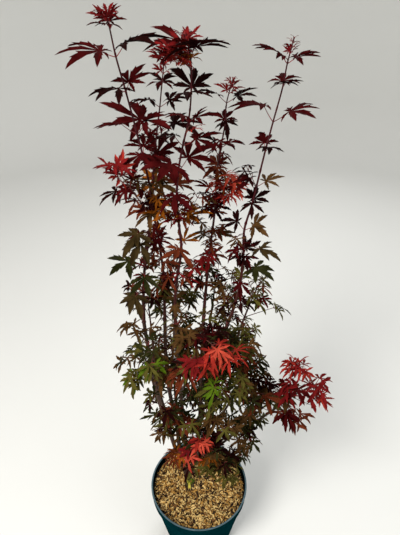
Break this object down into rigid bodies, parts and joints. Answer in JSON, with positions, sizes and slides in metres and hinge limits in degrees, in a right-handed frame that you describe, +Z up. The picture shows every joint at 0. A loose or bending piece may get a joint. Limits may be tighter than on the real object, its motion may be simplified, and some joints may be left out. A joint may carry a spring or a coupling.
{
  "type": "potted japanese maple",
  "caption": "Young maple with a short forked trunk, tall upright shoots and a skirt of low branches with star-shaped leaves, in a tapered round pot filled with bark mix.",
  "frame": {"origin": "middle of the pot's flat underside, where it stands", "axes": "+Z up along the plant, -Y the front as the picture sees it, +X to its right"},
  "size_m": [0.558, 0.4338, 1.5178],
  "materials": {
    "pot_plastic": "satin moulded plastic",
    "bark_chips": "rough chips",
    "bark": "smooth young bark",
    "maroon_leaves": "thin leaves",
    "bronze_leaves": "thin leaves"
  },
  "bodies": {
    "root": {"pot": "pot_plastic", "bark_mix": "bark_chips", "trunk": "bark", "leader_left": "bark", "leader_centre": "bark", "leader_right": "bark", "leader_back_left": "bark", "leader_back_right": "bark", "bough_upper_left": "bark", "bough_upper_back_left": "bark", "bough_upper_back": "bark", "bough_upper_right": "bark", "bough_upper_front_right": "bark", "bough_upper_front": "bark", "bough_upper_front_left": "bark", "bough_middle_left": "bark", "bough_middle_back_left": "bark", "bough_middle_back_right": "bark", "bough_middle_right": "bark", "bough_middle_front_right": "bark", "bough_middle_front_left": "bark", "bough_lower_left": "bark", "bough_lower_back": "bark", "bough_lower_front": "bark", "bough_lower_right": "bark", "bough_lowest_right": "bark", "bough_reach_right": "bark", "bough_reach_far_right": "bark", "foliage_left": "maroon_leaves", "foliage_centre": "maroon_leaves", "foliage_right": "maroon_leaves", "foliage_back_left": "maroon_leaves", "foliage_back_right": "maroon_leaves", "foliage_upper_left": "bronze_leaves", "foliage_upper_back_left": "bronze_leaves", "foliage_upper_back": "bronze_leaves", "foliage_upper_right": "bronze_leaves", "foliage_upper_front_right": "bronze_leaves", "foliage_upper_front": "bronze_leaves", "foliage_upper_front_left": "bronze_leaves", "foliage_middle_left": "bronze_leaves", "foliage_middle_back_left": "bronze_leaves", "foliage_middle_back_right": "bronze_leaves", "foliage_middle_right": "bronze_leaves", "foliage_middle_front_right": "bronze_leaves", "foliage_middle_front_left": "bronze_leaves", "foliage_lower_left": "bronze_leaves", "foliage_lower_back": "bronze_leaves", "foliage_lower_front": "bronze_leaves", "foliage_lower_right": "bronze_leaves", "foliage_lowest_right": "bronze_leaves", "foliage_reach_right": "bronze_leaves", "foliage_reach_far_right": "bronze_leaves"}
  },
  "joints": []
}
